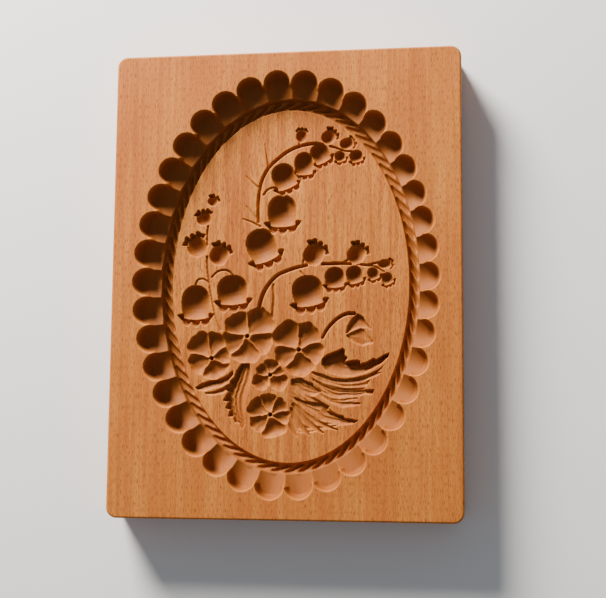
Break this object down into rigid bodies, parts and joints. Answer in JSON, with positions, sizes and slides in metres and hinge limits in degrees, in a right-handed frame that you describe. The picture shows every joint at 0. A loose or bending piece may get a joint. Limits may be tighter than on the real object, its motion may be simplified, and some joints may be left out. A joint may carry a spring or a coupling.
{
  "type": "butter mold",
  "caption": "One-piece carved beech mould board with an oval scalloped recess, a rope border and sunken lily of the valley and pansy motifs for shaping butter or dough.",
  "frame": {"origin": "middle of the flat back, at the bottom of the bounding box", "axes": "+X across the board's width, +Y along its length towards the top of the design, +Z out of the carved face"},
  "size_m": [0.15, 0.2, 0.02],
  "materials": {
    "beech": "oiled, satin"
  },
  "bodies": {
    "root": {"carved_board": "beech"}
  },
  "joints": []
}
